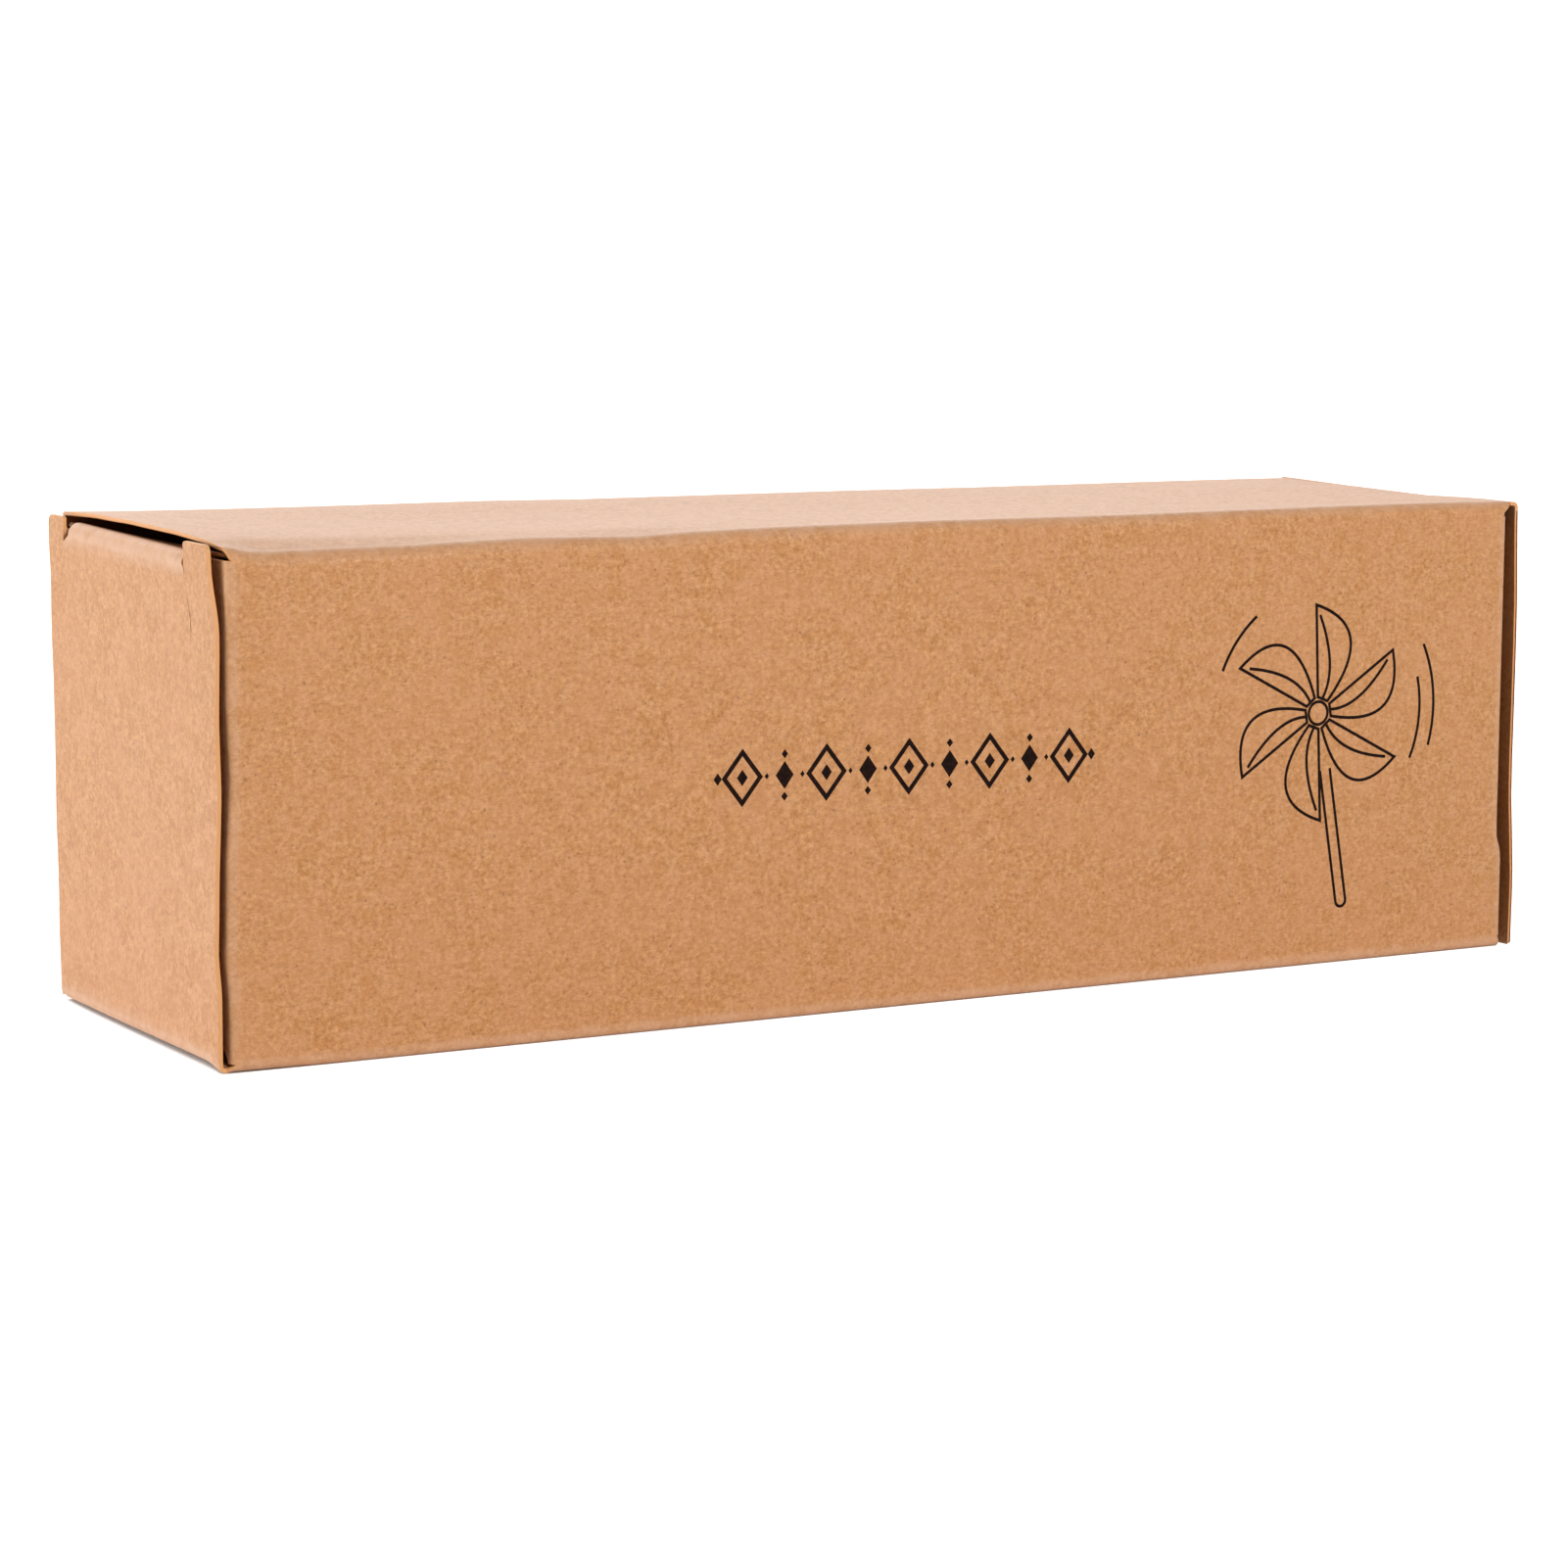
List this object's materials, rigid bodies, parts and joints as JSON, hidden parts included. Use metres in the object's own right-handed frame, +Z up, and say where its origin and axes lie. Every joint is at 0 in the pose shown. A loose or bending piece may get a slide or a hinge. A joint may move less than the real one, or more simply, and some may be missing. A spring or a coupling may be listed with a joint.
{
  "type": "boxed blow ball pipe toy",
  "caption": "Blow ball pipe toy in its closed kraft tuck end carton: a turned wooden pipe and light balls inside a folding box whose ends open.",
  "frame": {"origin": "middle of the carton's underside, on the surface that it stands on", "axes": "+X along the carton to its right end, +Y to its back panel, +Z up"},
  "size_m": [0.1868, 0.052, 0.06],
  "materials": {
    "kraft_board": "matte",
    "turned_beech": "satin",
    "foam_ball": "matte"
  },
  "bodies": {
    "root": {"front_panel": "kraft_board", "top_panel": "kraft_board", "back_panel": "kraft_board", "bottom_panel": "kraft_board", "glue_flap": "kraft_board"},
    "left_end_panel": {"left_end_panel": "kraft_board"},
    "left_tuck_flap": {"left_tuck_flap": "kraft_board"},
    "left_front_dust_flap": {"left_front_dust_flap": "kraft_board"},
    "left_back_dust_flap": {"left_back_dust_flap": "kraft_board"},
    "right_end_panel": {"right_end_panel": "kraft_board"},
    "right_tuck_flap": {"right_tuck_flap": "kraft_board"},
    "right_front_dust_flap": {"right_front_dust_flap": "kraft_board"},
    "right_back_dust_flap": {"right_back_dust_flap": "kraft_board"},
    "pipe": {"cup": "turned_beech", "lower_ring": "turned_beech", "upper_ring": "turned_beech", "ring_pegs": "turned_beech", "stem": "turned_beech"},
    "ball_1": {"ball_1": "foam_ball"},
    "ball_2": {"ball_2": "foam_ball"}
  },
  "joints": [
    {"name": "left_end_opening", "type": "hinge", "parent": "root", "child": "left_end_panel", "pos_m": [-0.0931, 0, 0.00025], "axis": [0, -1, 0], "range_deg": [0, 90]},
    {"name": "left_tuck_unfolding", "type": "hinge", "parent": "left_end_panel", "child": "left_tuck_flap", "pos_m": [-0.0931, 0, 0.0592], "axis": [0, -1, 0], "range_deg": [0, 31.5]},
    {"name": "left_front_dust_opening", "type": "hinge", "parent": "root", "child": "left_front_dust_flap", "pos_m": [-0.0919, -0.02575, 0], "axis": [0, 0, 1], "range_deg": [0, 90]},
    {"name": "left_back_dust_opening", "type": "hinge", "parent": "root", "child": "left_back_dust_flap", "pos_m": [-0.0919, 0.02575, 0], "axis": [0, 0, -1], "range_deg": [0, 90]},
    {"name": "right_end_opening", "type": "hinge", "parent": "root", "child": "right_end_panel", "pos_m": [0.0931, 0, 0.05975], "axis": [0, -1, 0], "range_deg": [0, 180]},
    {"name": "right_tuck_unfolding", "type": "hinge", "parent": "right_end_panel", "child": "right_tuck_flap", "pos_m": [0.0931, 0, 0.0008], "axis": [0, -1, 0], "range_deg": [0, 36]},
    {"name": "right_front_dust_opening", "type": "hinge", "parent": "root", "child": "right_front_dust_flap", "pos_m": [0.0914, -0.02575, 0], "axis": [0, 0, -1], "range_deg": [0, 90]},
    {"name": "right_back_dust_opening", "type": "hinge", "parent": "root", "child": "right_back_dust_flap", "pos_m": [0.0914, 0.02575, 0], "axis": [0, 0, 1], "range_deg": [0, 90]},
    {"name": "pipe_sliding", "type": "slide", "parent": "root", "child": "pipe", "axis": [1, 0, 0], "range_m": [0, 0.018]},
    {"name": "ball_1_rising", "type": "slide", "parent": "pipe", "child": "ball_1", "axis": [0, 0, 1], "range_m": [0, 0.007]},
    {"name": "ball_2_rising", "type": "slide", "parent": "pipe", "child": "ball_2", "axis": [0, 0, 1], "range_m": [0, 0.007]}
  ],
  "couplings": [
    {"joint": "left_tuck_unfolding", "follows": "left_end_opening", "ratio": 0.35},
    {"joint": "left_front_dust_opening", "follows": "left_end_opening", "ratio": 1},
    {"joint": "left_back_dust_opening", "follows": "left_end_opening", "ratio": 1},
    {"joint": "right_tuck_unfolding", "follows": "right_end_opening", "ratio": 0.2},
    {"joint": "right_front_dust_opening", "follows": "right_end_opening", "ratio": 0.5},
    {"joint": "right_back_dust_opening", "follows": "right_end_opening", "ratio": 0.5}
  ]
}
